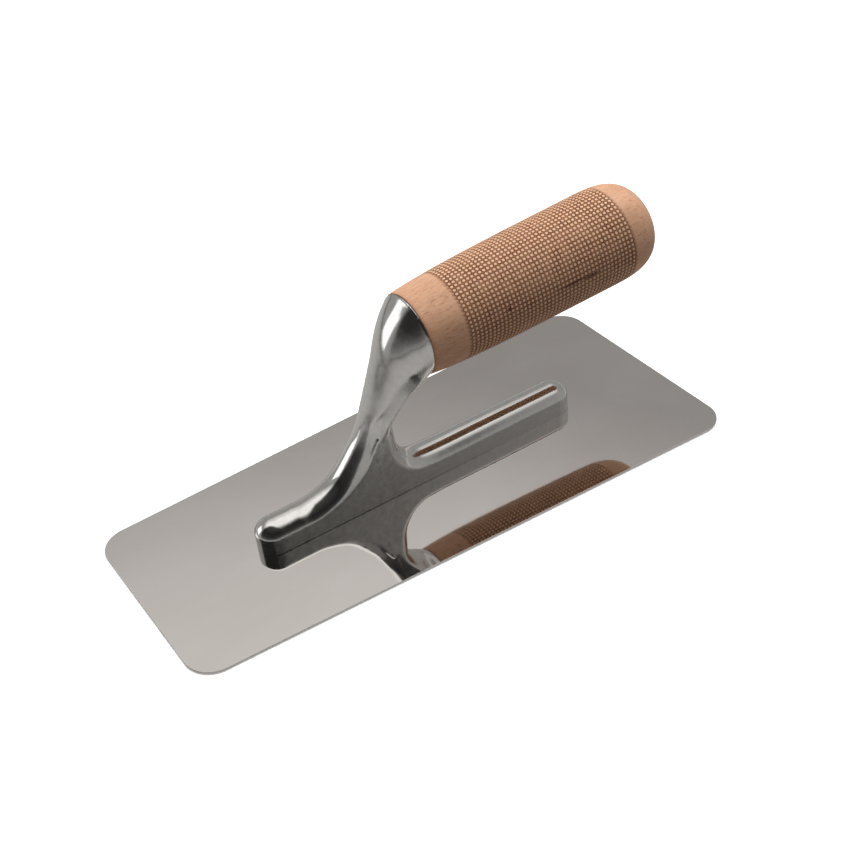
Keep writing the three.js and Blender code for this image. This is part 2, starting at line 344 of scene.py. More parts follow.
def blade_steel():
    """Mirror-polished stainless sheet with faint smears, hairline scratches and specks."""
    n = Nodes("blade_steel")
    n.shader.inputs["Metallic"].default_value = 1
    smear = n.noise(n.place((1, 1.6, 1)), 14, detail=5, roughness=0.55, distortion=0.6)
    base = n.ramp(smear, ((0.3, (0.74, 0.715, 0.69)), (0.7, (0.80, 0.78, 0.76))))
    speck = n.noise(n.place((1, 1, 1)), 1500, detail=1)
    dots = n.range(speck, 0.74, 0.8, 0, 0.5)
    n.wire(Base_Color=n.mix(dots, base, (0.45, 0.42, 0.38)))
    hair = n.noise(n.place((60, 2600, 60), rotation=(0, 0, 0.06)), 1, detail=2)
    rough = n.math("ADD", n.range(smear, 0.3, 0.75, 0.02, 0.05), n.range(hair, 0.4, 0.8, 0, 0.02))
    n.wire(Roughness=rough)
    n.wire(Normal=n.bump(hair, 0.05, 0.00001))
    return n.material


def cast_aluminium():
    """Polished casting: bright rounds, satin ground walls, faint mottling and waves."""
    n = Nodes("cast_aluminium")
    n.shader.inputs["Metallic"].default_value = 1
    where = n.place((1, 1, 1))
    mottle = n.noise(where, 420, detail=4, roughness=0.6)
    n.wire(Base_Color=n.ramp(mottle, ((0.3, (0.70, 0.70, 0.69)), (0.7, (0.80, 0.80, 0.79)))))
    polished = n.range(mottle, 0.3, 0.7, 0.08, 0.16)
    satin = n.range(mottle, 0.3, 0.7, 0.28, 0.38)
    ground = n.attribute("ground")
    blend = n.add("ShaderNodeMix", data_type="FLOAT")
    n.link(ground, blend.inputs[0])
    n.link(polished, blend.inputs[2])
    n.link(satin, blend.inputs[3])
    n.wire(Roughness=blend.outputs[0])
    grain = n.math("MULTIPLY", n.noise(where, 1500, detail=1), n.range(ground, 0, 1, 0.35, 1))
    waves = n.bump(n.noise(where, 160, detail=2), 0.35, 0.0001)
    n.wire(Normal=n.bump(grain, 0.08, 0.00005, after=waves))
    return n.material


def beech():
    """Turned beech: pinkish tan with fine flecks along the axis; burnt grooves where burn is set; a
    painted highlight on the bosses.
    """
    n = Nodes("beech")
    lean = (0, -HANDLE_PITCH, 0)
    broad = n.noise(n.place((12, 90, 90), rotation=lean), 1, detail=3, distortion=0.4)
    fine = n.noise(n.place((120, 1500, 1500), rotation=lean), 1, detail=3, roughness=0.6)
    fleck = n.noise(n.place((330, 3000, 3000), rotation=lean), 1, detail=1)
    colour = n.ramp(broad, ((0.25, (0.56, 0.32, 0.20)), (0.75, (0.72, 0.44, 0.29))))
    colour = n.mix(n.range(fine, 0.35, 0.7, 0, 0.5), colour, (0.42, 0.22, 0.13))
    colour = n.mix(n.range(fleck, 0.62, 0.72, 0, 0.75), colour, (0.27, 0.12, 0.06))
    # Painted highlight: the bosses are painted paler than the wood, in place of the light falling on
    # their raised tops.
    colour = n.mix(n.attribute("boss_highlight"), colour, (0.88, 0.54, 0.33))
    burn = n.attribute("burn")
    singe = n.range(n.noise(n.place((1, 1, 1)), 260, detail=3), 0.3, 0.7, 0.72, 1.0)
    char = n.math("MULTIPLY", burn, singe)
    colour = n.mix(char, colour, (0.075, 0.012, 0.003))
    for along, turn, half_sizes in KNOTS:
        centre = on_handle(along, math.radians(turn), 0.0) * MM
        mark = n.spot(centre.tolist(), [size * MM for size in half_sizes], lean)
        colour = n.mix(n.math("MULTIPLY", mark, 0.85), colour, (0.07, 0.02, 0.01))
    n.wire(Base_Color=colour)
    n.wire(Roughness=n.range(fine, 0.3, 0.7, 0.48, 0.62))
    n.shader.inputs["Specular IOR Level"].default_value = 0.2
    n.wire(Normal=n.bump(fleck, 0.3, 0.00005, after=n.bump(fine, 0.25, 0.00005)))
    return n.material


def rivet_steel():
    """Ground rivet heads with turning marks."""
    n = Nodes("rivet_steel")
    n.shader.inputs["Metallic"].default_value = 1
    marks = n.noise(n.place((2500, 120, 120)), 1, detail=2)
    n.wire(Base_Color=n.ramp(marks, ((0.3, (0.52, 0.51, 0.50)), (0.7, (0.64, 0.63, 0.62)))))
    n.wire(Roughness=n.range(marks, 0.3, 0.7, 0.22, 0.36))
    n.wire(Normal=n.bump(marks, 0.15, 0.00002))
    return n.material


def zinc_steel():
    """Bright zinc plating with a faint spangle."""
    n = Nodes("zinc_steel")
    n.shader.inputs["Metallic"].default_value = 1
    spangle = n.noise(n.place((1, 1, 1)), 700, detail=3)
    n.wire(Base_Color=n.ramp(spangle, ((0.3, (0.52, 0.54, 0.57)), (0.7, (0.68, 0.68, 0.67)))))
    n.wire(Roughness=n.range(spangle, 0.3, 0.7, 0.24, 0.4))
    n.wire(Normal=n.bump(spangle, 0.1, 0.00003))
    return n.material


def floor_paint():
    """Plain floor: white where it is seen directly, grey in the metal's reflections."""
    n = Nodes("floor_paint")
    seen = n.add("ShaderNodeLightPath").outputs["Is Camera Ray"]
    n.shader.inputs["Emission Color"].default_value = (1, 1, 1, 1)
    n.wire(Emission_Strength=n.math("MULTIPLY", seen, 0.35))
    n.wire(Base_Color=n.mix(seen, (0.36, 0.35, 0.34), (0.96, 0.96, 0.96)))
    n.shader.inputs["Roughness"].default_value = 0.9
    n.shader.inputs["Specular IOR Level"].default_value = 0.0
    return n.material


# ------------------------------------------------------------------ blade and rivets

CORNER_STEPS = 40
HOLE_STEPS = 64
HOLE_GAP = 0.06
WELD_REACH = 0.004
RIVET_STEPS = 64
RIVET_TIP_CHAMFER = 0.4
RIVET_EDGE_EASE = 0.05


def rounded_corner(corner, before, after, radius, steps):
    """Points of the arc that rounds a corner between its two neighbours."""
    to_before = (before - corner).normalized()
    to_after = (after - corner).normalized()
    half = to_before.angle(to_after) / 2
    centre = corner + (to_before + to_after).normalized() * (radius / math.sin(half))
    start = corner + to_before * (radius / math.tan(half)) - centre
    sweep = math.pi - 2 * half
    return [centre + Matrix.Rotation(sweep * i / steps, 2) @ start for i in range(steps + 1)]


def add_loop(curve, points):
    """Adds a closed outline to a flat curve, from points in millimetres."""
    spline = curve.splines.new("POLY")
    spline.points.add(len(points) - 1)
    for target, point in zip(spline.points, points):
        target.co = (point.x * MM, point.y * MM, 0, 1)
    spline.use_cyclic_u = True


def build_blade():
    """The sheet with rounded corners, eased edges and a hole for each rivet."""
    half = BLADE_LENGTH / 2
    corners = [
        Vector((-half, -BLADE_TOE_WIDTH / 2)),
        Vector((half, -BLADE_HEEL_WIDTH / 2)),
        Vector((half, BLADE_HEEL_WIDTH / 2)),
        Vector((-half, BLADE_TOE_WIDTH / 2)),
    ]
    outline = []
    for i, corner in enumerate(corners):
        following = corners[(i + 1) % len(corners)]
        outline += rounded_corner(corner, corners[i - 1], following, BLADE_CORNER_RADIUS, CORNER_STEPS)
    curve = bpy.data.curves.new("blade_outline", "CURVE")
    curve.dimensions = "2D"
    curve.fill_mode = "BOTH"
    add_loop(curve, outline)
    radius = RIVET_HEAD_RADIUS + HOLE_GAP
    for x in RIVET_XS:
        add_loop(curve, [
            Vector((x + radius * math.cos(a), radius * math.sin(a))) for a in even_turns(HOLE_STEPS)
        ])
    curve.extrude = (BLADE_THICKNESS / 2 - BLADE_EDGE_ROUND) * MM
    curve.bevel_depth = BLADE_EDGE_ROUND * MM
    curve.bevel_resolution = 3
    curve.offset = -BLADE_EDGE_ROUND * MM
    shaper = bpy.data.objects.new("blade_shaper", curve)
    bpy.context.scene.collection.objects.link(shaper)
    graph = bpy.context.evaluated_depsgraph_get()
    mesh = bpy.data.meshes.new_from_object(shaper.evaluated_get(graph))
    bpy.data.objects.remove(shaper)
    mesh.transform(Matrix.Translation((0, 0, BLADE_THICKNESS / 2 * MM)))
    blade = bpy.data.objects.new("blade_sheet", mesh)
    bpy.context.scene.collection.objects.link(blade)
    weld(blade, WELD_REACH)
    shade_smooth(blade, 5)
    return blade


def weld(obj, distance):
    """Merges points closer than a distance in millimetres."""
    work = bmesh.new()
    work.from_mesh(obj.data)
    bmesh.ops.remove_doubles(work, verts=work.verts, dist=distance * MM)
    bmesh.ops.recalc_face_normals(work, faces=work.faces)
    work.to_mesh(obj.data)
    work.free()


def build_rivet(index, x):
    """A countersunk rivet, standing on its ground head."""
    shank_top = BLADE_THICKNESS + RIVET_LENGTH
    profile = [
        (RIVET_LIFT, RIVET_HEAD_RADIUS - RIVET_EDGE_EASE),
        (RIVET_LIFT + RIVET_EDGE_EASE, RIVET_HEAD_RADIUS),
        (BLADE_THICKNESS, RIVET_SHANK_RADIUS),
        (shank_top - RIVET_TIP_CHAMFER, RIVET_SHANK_RADIUS),
        (shank_top, RIVET_SHANK_RADIUS - RIVET_TIP_CHAMFER),
    ]
    rivet = upright_solid(f"rivet_{index}", profile, x, RIVET_STEPS)
    shade_smooth(rivet, 30)
    return rivet


# ------------------------------------------------------------------ bracket

# Cross-sections of the casting, square to its side view. Each has the front and rear points
# (x, height above the blade), depth and half width of the front round, where its slanted strip
# starts and ends, the half width there, where its rear corner is and the half width there, how
# square the back is (2 is round), and how far the section has turned into a plain oval.
# The sections at the seat run on below it by SINK, and are cut off there.
SINK = 4
LEAN = (HEAD_RADIUS * math.sin(HANDLE_PITCH), HEAD_RADIUS * math.cos(HANDLE_PITCH))
BAR_SECTION = (BAR_ROUND, BAR_ROUND, 4.96, 5.3, BAR_HALF_WIDTH, 15.5, BAR_HALF_WIDTH, 6, 0)
NECK_STATIONS = (
    (-64, BAR_TOP, -64, -SINK, *BAR_SECTION),
    (-55, BAR_TOP, -55, -SINK, *BAR_SECTION),
    (-46.3, 12.4, -43.3, -2, 7.6, 8, 4.3, 4.9, 7.4, 13.5, 7.4, 6, 0),
    (-36, 16.4, -29, 5, 6.9, 8, 3.4, 5.2, 7.4, 12.4, 7.4, 6, 0),
    (-26.9, 26.4, -17.6, 20, 5.9, 7.4, 2.2, 6.9, 7.4, 10.3, 7.4, 4, 0),
    (-22.3, 33.4, -12.4, 28.2, 5.6, 7.4, 1.3, 6.8, 7.5, 9.4, 7.4, 2.4, 0),
    (-18.9, 40.4, -7.8, 35.8, 6, 8, 1.8, 7.8, 8.5, 8.5, 8.4, 1.4, 0),
    (-14.7, 50.8, -1, 45, 7.6, 9.3, 6.1, 11.4, 10.2, 12, 10.1, 1.4, 0),
    (-10.9, 59.5, 3.4, 47.4, 9.8, 11.3, 8.5, 13.6, 11.9, 14.4, 11.7, 1.5, 0.1),
    (-7, 67.9, 4.7, 48.1, 12, 13.6, 11.9, 17, 13.4, 18, 12.9, 1.6, 0.35),
    (-2.2, 75.6, 5.4, 48.6, 14.5, 15.5, 14.4, 21, 14.3, 22, 13.6, 1.8, 0.7),
    (HEAD_X - LEAN[0], HEAD_Z + LEAN[1], HEAD_X + LEAN[0], HEAD_Z - LEAN[1],
     HEAD_RADIUS, HEAD_RADIUS, HEAD_RADIUS - 0.1, 25, 14.7, 26, 14.1, 2, 1),
)
RIB_STATIONS = (
    (-9.2, 38, -15, 40, 3, 7.2, 2.5, 3, 7, 5.5, 7, 3, 0),
    (-8.2, 29, -18, 29.5, 7, 8, 4.2, 5, 7.4, 9, 7.4, 4, 0),
    (-6.9, 20.8, -20, 13, 8, 8, 4.96, 5.3, 7.4, 14.5, 7.4, 6, 0),
    (-1.8, 14, -10, -SINK, *BAR_SECTION),
    (8, BAR_TOP, 6, -SINK, *BAR_SECTION),
    (40, BAR_TOP, 40, -SINK, *BAR_SECTION),
    (69.6, BAR_TOP, 69.6, -SINK, *BAR_SECTION),
)
# The plate between foot, neck and rib, seen from the side: (x, height above the blade).
WEB_OUTLINE = (
    (-60, -SINK), (-60, 3), (-40, 5), (-28, 13), (-18, 31), (-14.5, 27), (-13, 19), (-8, 9),
    (0, 4), (66, 4), (66, -SINK),
)
# Points round a section, and sections along the neck, the rib and a bar's rounded end.
ROUND_STEPS = 22
STRIP_STEPS = 8
WALL_STEPS = 10
BACK_STEPS = 16
NECK_STEPS = 150
RIB_STEPS = 100
END_STEPS = 14
# A bar's rounded end stops just short of its tip, where its section would shrink to a line.
END_SWEEP = 88
END_STRIP = 0.34
END_CORNER_RISE = 0.6
END_SQUARENESS = 6
VOXEL = 0.45
SOFTENING = 5
HEAD_CUT_FLOOR = 44.0
RIM_EASE = 0.45
SPIGOT_ROOT = -6
SPIGOT_CHAMFER = 1.5
BORE_OVERRUN = 5
RIVET_CLEARANCE = 0.1
# How squarely a face looks sideways before it counts as ground, and how soft that limit is.
GROUND_FACING = 0.86
GROUND_BLEND = 0.06


def spline_rows(rows, steps):
    """Catmull-Rom blend of rows of numbers."""
    rows = np.array(rows, float)
    padded = np.vstack([2 * rows[0] - rows[1], rows, 2 * rows[-1] - rows[-2]])
    out = []
    for t in np.linspace(0, len(rows) - 1, steps + 1):
        i = min(int(t), len(rows) - 2)
        u = t - i
        before, start, end, after = padded[i:i + 4]
        slope_in = (end - before) / 2
        slope_out = (after - start) / 2
        out.append(
            (2 * u**3 - 3 * u**2 + 1) * start + (u**3 - 2 * u**2 + u) * slope_in
            + (3 * u**2 - 2 * u**3) * end + (u**3 - u**2) * slope_out
        )
    return out


def bar_end_rows(end_x, direction):
    """Sections of a bar's rounded end: a ball, ground to the same wall all the way round."""
    centre_x = end_x - direction * BAR_HALF_WIDTH
    centre_z = BAR_TOP - BAR_ROUND
    rows = []
    for i in range(1, END_STEPS + 1):
        reach = BAR_HALF_WIDTH * math.sin(math.radians(END_SWEEP * i / END_STEPS))
        ball = math.sqrt(BAR_ROUND**2 - reach**2)
        x = centre_x + direction * reach
        wall = math.sqrt(BAR_HALF_WIDTH**2 - reach**2)
        crease = ball - math.sqrt(BAR_ROUND**2 - BAR_HALF_WIDTH**2)
        corner = centre_z + ball + SINK - END_CORNER_RISE
        rows.append((
            x, centre_z + ball, x, -SINK,
            ball, ball, crease, crease + END_STRIP, wall, corner, wall, END_SQUARENESS, 0,
        ))
    return rows


def half_section(depth, row):
    """(Distance from the front, half width) pairs down one side of a section."""
    (nose_depth, nose_half, strip_start, strip_end, strip_half,
     corner, corner_half, power, oval) = row[4:]
    turn = math.acos(1 - strip_start / nose_depth)
    outline = []
    for i in range(ROUND_STEPS):
        part = turn * i / ROUND_STEPS
        outline.append((nose_depth * (1 - math.cos(part)), nose_half * math.sin(part)))
    knots = ((strip_start, nose_half * math.sin(turn)), (strip_end, strip_half), (corner, corner_half))
    for start, end, steps in zip(knots, knots[1:], (STRIP_STEPS, WALL_STEPS)):
        for i in range(steps):
            u = i / steps
            outline.append((start[0] + (end[0] - start[0]) * u, start[1] + (end[1] - start[1]) * u))
    for i in range(BACK_STEPS + 1):
        turn = math.pi / 2 * i / BACK_STEPS
        reach = math.sin(turn) ** (2 / power)
        wide = corner_half * max(math.cos(turn), 0) ** (2 / power)
        outline.append((corner + (depth - corner) * reach, wide))
    return [
        (down, wide + (nose_half * math.sqrt(max(1 - (1 - 2 * down / depth) ** 2, 0)) - wide) * oval)
        for down, wide in outline
    ]


def section_ring(row):
    """The points of one cross-section."""
    front = np.array([row[0], 0, row[1] + BLADE_THICKNESS])
    rear = np.array([row[2], 0, row[3] + BLADE_THICKNESS])
    depth = np.linalg.norm(rear - front)
    inward = (rear - front) / depth
    side = half_section(depth, row)
    near = [front + inward * down - AXIS_SIDE * wide for down, wide in side]
    far = [front + inward * down + AXIS_SIDE * wide for down, wide in side[-2:0:-1]]
    return near + far


def loft(name, rows):
    """A solid through cross-sections."""
    rings = [section_ring(row) for row in rows]
    return make_object(name, np.concatenate(rings), grid_faces(len(rings), len(rings[0])))


def web_plate():
    """The flat plate between foot, neck and rib."""
    count = len(WEB_OUTLINE)
    points = [
        (x, y, z + BLADE_THICKNESS)
        for y in (-BAR_HALF_WIDTH, BAR_HALF_WIDTH)
        for x, z in WEB_OUTLINE
    ]
    faces = [tuple(range(count))[::-1], tuple(range(count, 2 * count))]
    faces += [(i, (i + 1) % count, (i + 1) % count + count, i + count) for i in range(count)]
    return make_object("web", points, faces)


def flush_cut(obj, point, normal, above=-math.inf):
    """Cuts off what lies beyond a plane, down to a height, and closes the cut."""
    work = bmesh.new()
    work.from_mesh(obj.data)
    part = [item for group in (work.verts, work.edges, work.faces) for item in group
            if min(vert.co.z for vert in getattr(item, "verts", (item,))) > above * MM]
    result = bmesh.ops.bisect_plane(
        work, geom=part, plane_co=Vector(point) * MM, plane_no=Vector(normal), clear_outer=True
    )
    rim = [e for e in result["geom_cut"] if isinstance(e, bmesh.types.BMEdge)]
    bmesh.ops.holes_fill(work, edges=rim, sides=0)
    bmesh.ops.triangulate(work, faces=[f for f in work.faces if len(f.verts) > 4])
    work.to_mesh(obj.data)
    work.free()


def build_bracket():
    """The casting: its lofted parts are merged, softened and cut flush at the seat and the head."""
    neck_rows = bar_end_rows(NOSE_X, -1)[::-1] + spline_rows(NECK_STATIONS, NECK_STEPS)
    rim = RIM_EASE * AXIS_UP[[0, 2, 0, 2]] * (-1, -1, 1, 1)
    run = AXIS[[0, 2, 0, 2]]
    full, eased, overrun = (np.array(neck_rows[-1]) for _ in range(3))
    full[:4] -= run * RIM_EASE
    eased[:4] += rim
    overrun[:4] += rim + 3 * run
    bracket = merge("bracket_casting", (
        loft("neck", neck_rows[:-1] + [full, eased, overrun]),
        loft("rib", spline_rows(RIB_STATIONS, RIB_STEPS) + bar_end_rows(RIB_END_X, 1)),
        web_plate(),
    ))
    remesh = bracket.modifiers.new("remesh", "REMESH")
    remesh.mode = "VOXEL"
    remesh.voxel_size = VOXEL * MM
    remesh.use_smooth_shade = True
    soften = bracket.modifiers.new("soften", "SMOOTH")
    soften.factor = 0.5
    soften.iterations = SOFTENING
    apply_modifiers(bracket)
    flush_cut(bracket, (0, 0, BLADE_THICKNESS + SEAT_GAP), (0, 0, -1))
    flush_cut(bracket, HEAD_CENTRE, AXIS, above=HEAD_CUT_FLOOR)
    spigot = [
        (SPIGOT_ROOT, SPIGOT_RADIUS),
        (SPIGOT_LENGTH - SPIGOT_CHAMFER, SPIGOT_RADIUS),
        (SPIGOT_LENGTH, SPIGOT_RADIUS - SPIGOT_CHAMFER),
    ]
    combine(bracket, turned_solid("spigot", spigot, 48), "UNION")
    bore_radius = STUD_RADIUS + FIT_GAP
    bore = [(STUD_START - FIT_GAP, bore_radius), (SPIGOT_LENGTH + BORE_OVERRUN, bore_radius)]
    combine(bracket, turned_solid("bore", bore, 32), "DIFFERENCE")
    socket_radius = RIVET_SHANK_RADIUS + RIVET_CLEARANCE
    socket = [(-1, socket_radius), (BLADE_THICKNESS + RIVET_LENGTH + FIT_GAP, socket_radius)]
    for x in RIVET_XS:
        combine(bracket, upright_solid("socket", socket, x, 32), "DIFFERENCE")
    shade_smooth(bracket, 40)
    mark_ground_walls(bracket)
    return bracket


def mark_ground_walls(obj):
    """Sets the ground attribute to 1 on the flat side walls and 0 on the polished rounds."""
    mesh = obj.data
    normals = np.zeros(len(mesh.vertices) * 3)
    mesh.vertices.foreach_get("normal", normals)
    facing = np.abs(normals.reshape(-1, 3)[:, 1])
    ground = np.clip((facing - GROUND_FACING) / GROUND_BLEND, 0, 1)
    mesh.attributes.new("ground", "FLOAT", "POINT").data.foreach_set("value", ground)


# ------------------------------------------------------------------ handle

GRIP_START = 16.4
GRIP_END = 94.6
GRIP_COLUMNS = 43
GRIP_ROWS = 68
# Rings round the middle of each cell, from outside in: radius in cells, height, burn.
GROOVE_RINGS = ((0.46, -0.12, 1.0), (0.41, -0.2, 1.0), (0.35, -0.01, 0.1))
RING_POINTS = 8
# Heights and burn of a cell's corners, the middles of its edges and its boss.
CORNER_HEIGHT = -0.04
CORNER_BURN = 0.35
EDGE_HEIGHT = -0.08
EDGE_BURN = 0.9
BOSS_HEIGHT = 0.03
# Wood burnt less than this (the bosses) is painted paler, up to this level: a painted highlight on
# their raised tops.
BURN_LIMIT = 0.3
BOSS_HIGHLIGHT_LEVEL = 0.6
# The plain butt and collar: how far the even rings run past the start of the rounding, and how
# many rings each stretch has.
BUTT_RUN = 14
BUTT_RUN_RINGS = 5
BUTT_ROUND_RINGS = 24
COLLAR_RINGS = 11
COLLAR_EASE = 0.35
COUNTERBORE_EASE = 0.3


def handle_radius(along):
    """Radius of the handle at a distance along its axis, as in the CAD model."""
    along = np.asarray(along, float)
    swell = (HANDLE_BUTT_RADIUS - HANDLE_TAPER - HEAD_RADIUS) * (1 - np.exp(-along / HANDLE_SWELL))
    body = HEAD_RADIUS + swell + HANDLE_TAPER * along / BUTT_ROUND_START
    past = np.clip((along - BUTT_ROUND_START) / (HANDLE_LENGTH - BUTT_ROUND_START), 0, 1)
    return body * (1 - past**BUTT_ROUND_POWER) ** (1 / BUTT_ROUND_POWER)


def on_handle(along, turn, raise_by):
    """Points on the handle's surface at a distance along it and a turn round it."""
    radius = handle_radius(along) + raise_by
    return (
        HEAD_CENTRE + np.multiply.outer(along, AXIS)
        + (radius * np.cos(turn))[..., None] * AXIS_SIDE + (radius * np.sin(turn))[..., None] * AXIS_UP
    )


def grip_cells():
    """The textured band: a grid of cells, each a round boss inside a burnt ring groove."""
    column_length = (GRIP_END - GRIP_START) / GRIP_COLUMNS
    row_turn = 2 * math.pi / GRIP_ROWS
    columns = np.arange(GRIP_COLUMNS + 1)
    rows = np.arange(GRIP_ROWS)

    def place(column, row, raise_by):
        """Points on the handle at a column and row, counted in cells."""
        column, row = np.broadcast_arrays(column, row)
        return on_handle(GRIP_START + column * column_length, row * row_turn, raise_by)

    blocks = []
    burns = []

    def add_block(points, burn):
        """Adds points that share a burn level, and returns the index of the first."""
        start = sum(len(block) for block in blocks)
        blocks.append(points.reshape(-1, 3))
        burns.append(np.full(points.size // 3, burn))
        return start

    corner_start = add_block(place(columns[:, None], rows[None], CORNER_HEIGHT), CORNER_BURN)
    cross_start = add_block(place(columns[:, None], rows[None] + 0.5, EDGE_HEIGHT), EDGE_BURN)
    along_start = add_block(place(columns[:-1, None] + 0.5, rows[None], EDGE_HEIGHT), EDGE_BURN)
    ring_angles = even_turns(RING_POINTS)
    ring_starts = []
    for size, height, burn in GROOVE_RINGS:
        ring_columns = columns[:-1, None, None] + 0.5 + size * np.cos(ring_angles)
        ring_rows = rows[None, :, None] + 0.5 + size * np.sin(ring_angles)
        ring_starts.append(add_block(place(ring_columns, ring_rows, height), burn))
    boss_start = add_block(place(columns[:-1, None] + 0.5, rows[None] + 0.5, BOSS_HEIGHT), 0.0)

    faces = []
    for i in range(GRIP_COLUMNS):
        for j in range(GRIP_ROWS):
            k = (j + 1) % GRIP_ROWS
            border = (
                cross_start + (i + 1) * GRIP_ROWS + j,
                corner_start + (i + 1) * GRIP_ROWS + k,
                along_start + i * GRIP_ROWS + k,
                corner_start + i * GRIP_ROWS + k,
                cross_start + i * GRIP_ROWS + j,
                corner_start + i * GRIP_ROWS + j,
                along_start + i * GRIP_ROWS + j,
                corner_start + (i + 1) * GRIP_ROWS + j,
            )
            cell = i * GRIP_ROWS + j
            loops = [border]
            for start in ring_starts:
                loops.append(range(start + cell * RING_POINTS, start + (cell + 1) * RING_POINTS))
            for outer, inner in zip(loops, loops[1:]):
                faces += [(outer[m - 1], outer[m], inner[m], inner[m - 1]) for m in range(RING_POINTS)]
            innermost = loops[-1]
            faces += [
                (innermost[m - 1], innermost[m], boss_start + cell) for m in range(RING_POINTS)
            ]

    def edge_loop(column):
        """The points round one end of the band."""
        loop = []
        for index in range(column * GRIP_ROWS, (column + 1) * GRIP_ROWS):
            loop += [corner_start + index, cross_start + index]
        return loop

    return np.concatenate(blocks), np.concatenate(burns), faces, edge_loop(0), edge_loop(GRIP_COLUMNS)


def plain_profile():
    """The handle's plain skin from the grip's end round the butt, through the bores and back."""
    bore = STUD_RADIUS + FIT_GAP
    socket = SPIGOT_RADIUS + FIT_GAP
    counterbore_start = HANDLE_LENGTH - COUNTERBORE_DEPTH
    butt_length = HANDLE_LENGTH - BUTT_ROUND_START
    distances = list(np.linspace(GRIP_END, BUTT_ROUND_START + BUTT_RUN, BUTT_RUN_RINGS + 1)[1:])
    rim_share = (COUNTERBORE_RADIUS + COUNTERBORE_EASE) / HANDLE_BUTT_RADIUS
    reach = (1 - rim_share**BUTT_ROUND_POWER) ** (1 / BUTT_ROUND_POWER)
    start = (distances[-1] - BUTT_ROUND_START) / butt_length
    for past in start + (reach - start) * np.sin(np.linspace(0, math.pi / 2, BUTT_ROUND_RINGS + 1))[1:]:
        distances.append(BUTT_ROUND_START + butt_length * past)
    inside = [
        (distances[-1] - COUNTERBORE_EASE, COUNTERBORE_RADIUS),
        (counterbore_start, COUNTERBORE_RADIUS),
        (counterbore_start, bore),
        (SPIGOT_LENGTH + FIT_GAP, bore),
        (SPIGOT_LENGTH + FIT_GAP, socket),
        (FIT_GAP, socket),
        (FIT_GAP, HEAD_RADIUS - COLLAR_EASE),
        (FIT_GAP + 0.1, HEAD_RADIUS - 0.1),
    ]
    collar = np.linspace(FIT_GAP + COLLAR_EASE, GRIP_START, COLLAR_RINGS + 1)[:-1]
    return (
        [(along, float(handle_radius(along))) for along in distances]
        + inside
        + [(along, float(handle_radius(along))) for along in collar]
    )


def build_handle():
    """The beech handle as one closed mesh: textured band, plain collar and butt, bores."""
    points, burns, faces, first_loop, last_loop = grip_cells()
    around = 2 * GRIP_ROWS
    profile = plain_profile()
    loops = [last_loop]
    for i in range(len(profile)):
        start = len(points) + i * around
        loops.append(range(start, start + around))
    loops.append(first_loop)
    for near, far in zip(loops, loops[1:]):
        faces += [(near[m - 1], far[m - 1], far[m], near[m]) for m in range(around)]
    points = np.concatenate([points, turned_points(profile, around)])
    handle = make_object("handle_beech", points, faces)
    burn = np.zeros(len(points))
    burn[:len(burns)] = burns
    handle.data.attributes.new("burn", "FLOAT", "POINT").data.foreach_set("value", burn)
    # The bosses' painted highlight, stored as a point attribute.
    boss_highlight = np.zeros(len(points))
    boss_highlight[:len(burns)] = BOSS_HIGHLIGHT_LEVEL * (burns < BURN_LIMIT)
    handle.data.attributes.new("boss_highlight", "FLOAT", "POINT").data.foreach_set("value", boss_highlight)
    shade_smooth(handle, 50)
    return handle


# ------------------------------------------------------------------ handle fixings

STUD_STEPS = 36
STUD_CHAMFER = 0.4
STUD_TIP_RADIUS = 2.0
THREAD_LENGTH = 9
THREAD_DEPTH = 0.55
THREAD_SHARPNESS = 1.2
RINGS_PER_PITCH = 10
WASHER_EASE = 0.15
FIXING_STEPS = 96
NUT_CHAMFER = 0.5
NUT_END_RADIUS = 5.0
NUT_BORE_GAP = 0.05
NUT_BORE_EASE = 0.3


def build_stud():
    """The stud, with a rolled thread on the stretch that shows past the nut."""
    thread_start = STUD_END - THREAD_LENGTH
    shank = [
        (STUD_START, STUD_RADIUS - STUD_CHAMFER),
        (STUD_START + STUD_CHAMFER, STUD_RADIUS),
        (thread_start - 0.5, STUD_RADIUS),
    ]
    tip = [(STUD_END - 0.5, STUD_RADIUS - THREAD_DEPTH), (STUD_END, STUD_TIP_RADIUS)]
    rings = [turned_points(shank, STUD_STEPS)]
    for i in range(int((STUD_END - 0.8 - thread_start) / THREAD_PITCH * RINGS_PER_PITCH) + 1):
        along = thread_start + i * THREAD_PITCH / RINGS_PER_PITCH
        phase = (along / THREAD_PITCH - even_turns(STUD_STEPS) / (2 * math.pi)) % 1
        radius = STUD_RADIUS - THREAD_DEPTH * np.abs(2 * phase - 1) ** THREAD_SHARPNESS
        rings.append(HEAD_CENTRE + AXIS * along + spokes(STUD_STEPS) * radius[:, None])
    rings.append(turned_points(tip, STUD_STEPS))
    points = np.concatenate(rings)
    stud = make_object("stud", points, grid_faces(len(points) // STUD_STEPS, STUD_STEPS))
    shade_smooth(stud, 40)
    return stud


def build_washer():
    """A flat washer with eased edges, on the floor of the counterbore."""
    seat = HANDLE_LENGTH - COUNTERBORE_DEPTH + FIT_GAP
    top = seat + WASHER_THICKNESS
    inner = STUD_RADIUS + FIT_GAP
    profile = [
        (top - WASHER_EASE, inner),
        (top, inner + WASHER_EASE),
        (top, WASHER_RADIUS - WASHER_EASE),
        (top - WASHER_EASE, WASHER_RADIUS),
        (seat + WASHER_EASE, WASHER_RADIUS),
        (seat, WASHER_RADIUS - WASHER_EASE),
        (seat, inner),
    ]
    washer = turned_ring("washer", profile, FIXING_STEPS)
    shade_smooth(washer, 30)
    return washer


